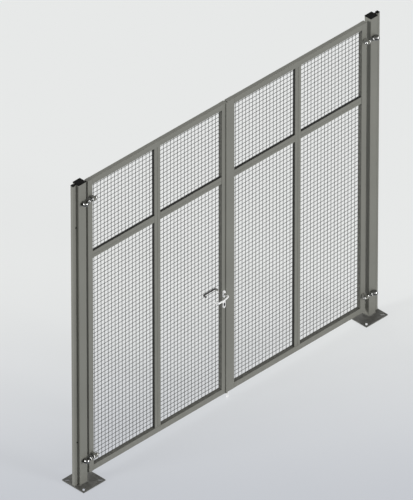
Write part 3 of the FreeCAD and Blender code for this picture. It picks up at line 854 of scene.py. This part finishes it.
class GATE_OT_posts(bpy.types.Operator):
    """Model the posts' moulded caps, the welds round their feet and the screws in their grooves"""

    bl_idname = "gate.posts"
    bl_label = "Posts"

    def execute(self, context):
        sizes = context.scene.gate_sizes
        radius, tall, edge = sizes.groove_screw
        for side in SIDES:
            bm = bmesh.new()
            for node, part in ((f"{side}_post", 1.0), (f"{side}_post_bead", sizes.bead_weld)):
                low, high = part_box(node)
                self.foot_weld(bm, low, high, sizes.weld_leg * part, sizes)
            finish_piece(f"{side}_foot_weld", bm, "dark_paint", "posts")
            low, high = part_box(f"{side}_post_neck")
            middle = (low.x + high.x) / 2
            bm = bmesh.new()
            for z in (low.z + sizes.screw_inset, high.z - sizes.screw_inset):
                for seat, tip in ((low.y, low.y - tall), (high.y, high.y + tall)):
                    rod(bm, (middle, seat, z), (middle, tip, z), radius, SCREW_SIDES, edge)
            finish_piece(f"{side}_groove_screws", bm, "black_plastic", "posts")
            bm = bmesh.new()
            bottom, top = (corner.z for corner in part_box(f"{side}_post_cap"))
            for node, overlap in (("post", 0.0), ("post_neck", sizes.cap_edge), ("post_bead", 0.0)):
                low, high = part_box(f"{side}_{node}")
                block(bm, (low.x - overlap, low.y, bottom), (high.x + overlap, high.y, top), sizes.cap_edge)
            finish_piece(f"{side}_cap_moulding", bm, "black_plastic", "posts", f"{side}_post_cap")
        return {"FINISHED"}

    @staticmethod
    def foot_weld(bm, low, high, leg, sizes):
        """A weld bead that slopes from the base plate up to a post's four faces, with ripples along it."""
        work = bmesh.new()
        middle = (low + high) / 2
        size = Vector((high.x - low.x, high.y - low.y, leg))
        centre = Vector((middle.x, middle.y, low.z + leg / 2))
        bmesh.ops.create_cube(work, size=1.0, matrix=Matrix.LocRotScale(centre, None, size))
        foot = [vert for vert in work.verts if vert.co.z < centre.z]
        grow = Matrix.LocRotScale(None, None, Vector((1 + 2 * leg / size.x, 1 + 2 * leg / size.y, 1)))
        bmesh.ops.transform(work, matrix=grow, space=Matrix.Translation(-middle), verts=foot)
        lines = [line for line in work.edges if abs(line.verts[0].co.z - line.verts[1].co.z) < TOLERANCE]
        bmesh.ops.subdivide_edges(work, edges=lines, cuts=sizes.weld_cuts, use_grid_fill=True)
        for vert in work.verts:
            if low.z + TOLERANCE < vert.co.z:
                vert.co.z += sizes.ripple_height * math.sin(sizes.ripple_rate * (vert.co.x + vert.co.y))
        join(bm, work)


# Stage


def shown_rays(tree):
    """One where a ray shows the stage to the camera, straight or by way of metal, and else nought."""
    path = tree.nodes.new("ShaderNodeLightPath").outputs
    shown = path["Is Camera Ray"]
    for other in ("Is Glossy Ray", "Is Transmission Ray"):
        shown = combine(tree, "MAXIMUM", shown, path[other])
    return shown


class GATE_OT_stage(bpy.types.Operator):
    """Set up the pale floor, the soft light and the camera"""

    bl_idname = "gate.stage"
    bl_label = "Stage"

    def execute(self, context):
        stage = context.scene.gate_stage
        context.scene.view_settings.view_transform = "Standard"
        self.floor(stage)
        self.world(context.scene, stage)
        self.light("side_light", stage.side_light, stage.side_from, stage.softness)
        self.light("front_light", stage.front_light, stage.front_from, stage.softness)
        self.light("back_light", stage.back_light, stage.back_from, stage.softness)
        self.camera(context.scene, stage)
        return {"FINISHED"}

    @staticmethod
    def floor(stage):
        """A wide pale floor that is a little darker just in front of the gate and round it, painted shade
        in its colour.
        """
        material = bpy.data.materials.new("pale_floor")
        material.use_nodes = True
        tree = material.node_tree
        shader = tree.nodes["Principled BSDF"]
        shader.inputs["Roughness"].default_value = 0.9
        shader.inputs["Specular IOR Level"].default_value = 0.0
        place = object_place(tree)
        ground = add_node(tree, "ShaderNodeSeparateXYZ", Vector=place).outputs
        behind = smooth_rise(tree, combine(tree, "ADD", ground["X"], ground["Y"]), *stage.floor_depths)
        apart = add_node(tree, "ShaderNodeVectorMath", {"operation": "DISTANCE"}, _0=place,
                         _1=stage.floor_middle[:]).outputs["Value"]
        away = smooth_rise(tree, apart, *stage.floor_fade)
        # Painted shade: the near colour darkens the floor in front of the gate and round it.
        tone = blend(tree, combine(tree, "MAXIMUM", behind, away), (*stage.floor_near, 1.0),
                     (*stage.floor_far, 1.0))
        tree.links.new(tone, shader.inputs["Base Color"])
        glow = add_node(tree, "ShaderNodeEmission", Color=tone).outputs[0]
        part = product(tree, shown_rays(tree), stage.floor_glow)
        both = add_node(tree, "ShaderNodeMixShader", _0=part, _1=shader.outputs[0], _2=glow)
        tree.links.new(both.outputs[0], tree.nodes["Material Output"].inputs["Surface"])
        bm = bmesh.new()
        bmesh.ops.create_circle(bm, cap_ends=True, segments=FLOOR_SIDES, radius=stage.floor_radius,
                                matrix=Matrix.Translation((0.0, 0.0, -stage.floor_drop)))
        mesh = bpy.data.meshes.new("floor")
        bm.to_mesh(mesh)
        bm.free()
        mesh.materials.append(material)
        floor = bpy.data.objects.new("floor", mesh)
        bpy.context.scene.collection.objects.link(floor)

    @staticmethod
    def world(scene, stage):
        """Even light from all round, and the backdrop where camera or metal see past the floor."""
        world = bpy.data.worlds.new("studio")
        world.use_nodes = True
        scene.world = world
        tree = world.node_tree
        seen = tree.nodes["Background"]
        seen.inputs["Color"].default_value = (*stage.backdrop, 1.0)
        seen.inputs["Strength"].default_value = 1.0
        lit = add_node(tree, "ShaderNodeBackground", Color=(1.0, 1.0, 1.0, 1.0), Strength=stage.ambient)
        mix = add_node(tree, "ShaderNodeMixShader", _0=shown_rays(tree), _1=lit.outputs[0],
                       _2=seen.outputs[0])
        tree.links.new(mix.outputs[0], tree.nodes["World Output"].inputs["Surface"])

    @staticmethod
    def light(name, strength, origin, softness):
        """A wide soft light from a direction."""
        data = bpy.data.lights.new(name, "SUN")
        data.energy = strength
        data.angle = softness
        lamp = bpy.data.objects.new(name, data)
        lamp.rotation_euler = Vector(origin).to_track_quat("Z", "Y").to_euler()
        bpy.context.scene.collection.objects.link(lamp)

    @staticmethod
    def camera(scene, stage):
        """A far camera with a long lens, turned as in the photo."""
        data = bpy.data.cameras.new("camera")
        data.lens = stage.lens
        data.sensor_width = 36.0
        data.clip_end = stage.sight * stage.distance
        camera = bpy.data.objects.new("camera", data)
        flat = math.cos(stage.elevation)
        back = Vector((math.sin(stage.azimuth) * flat, -math.cos(stage.azimuth) * flat,
                       math.sin(stage.elevation)))
        camera.location = Vector(stage.aim) + back * stage.distance
        camera.rotation_euler = back.to_track_quat("Z", "Y").to_euler()
        scene.collection.objects.link(camera)
        scene.camera = camera


class GATE_PT_panel(bpy.types.Panel):
    """Sizes, colours, stage and build steps of the gate"""

    bl_idname = "GATE_PT_panel"
    bl_label = "Double Mesh Gate"
    bl_space_type = "VIEW_3D"
    bl_region_type = "UI"
    bl_category = "Gate"

    def draw(self, context):
        layout = self.layout
        for group in (context.scene.gate_sizes, context.scene.gate_colours, context.scene.gate_stage):
            box = layout.box()
            for name in group.__annotations__:
                box.prop(group, name)
        for step in STEPS:
            layout.operator(step.bl_idname)


STEPS = (GATE_OT_finishes, GATE_OT_mesh_infill, GATE_OT_mid_bars, GATE_OT_eyebolts, GATE_OT_lock,
         GATE_OT_drop_bolt, GATE_OT_posts, GATE_OT_stage)
GROUPS = (("gate_sizes", GateSizes), ("gate_colours", GateColours), ("gate_stage", GateStage))


def register():
    for name, group in GROUPS:
        bpy.utils.register_class(group)
        setattr(bpy.types.Scene, name, PointerProperty(type=group))
    for step in (*STEPS, GATE_PT_panel):
        bpy.utils.register_class(step)


def unregister():
    for step in (*STEPS, GATE_PT_panel):
        bpy.utils.unregister_class(step)
    for name, group in GROUPS:
        delattr(bpy.types.Scene, name)
        bpy.utils.unregister_class(group)


def main():
    register()
    bpy.ops.gate.finishes()
    bpy.ops.gate.mesh_infill()
    bpy.ops.gate.mid_bars()
    bpy.ops.gate.eyebolts()
    bpy.ops.gate.lock()
    bpy.ops.gate.drop_bolt()
    bpy.ops.gate.posts()
    bpy.ops.gate.stage()


if __name__ == "__main__":
    main()
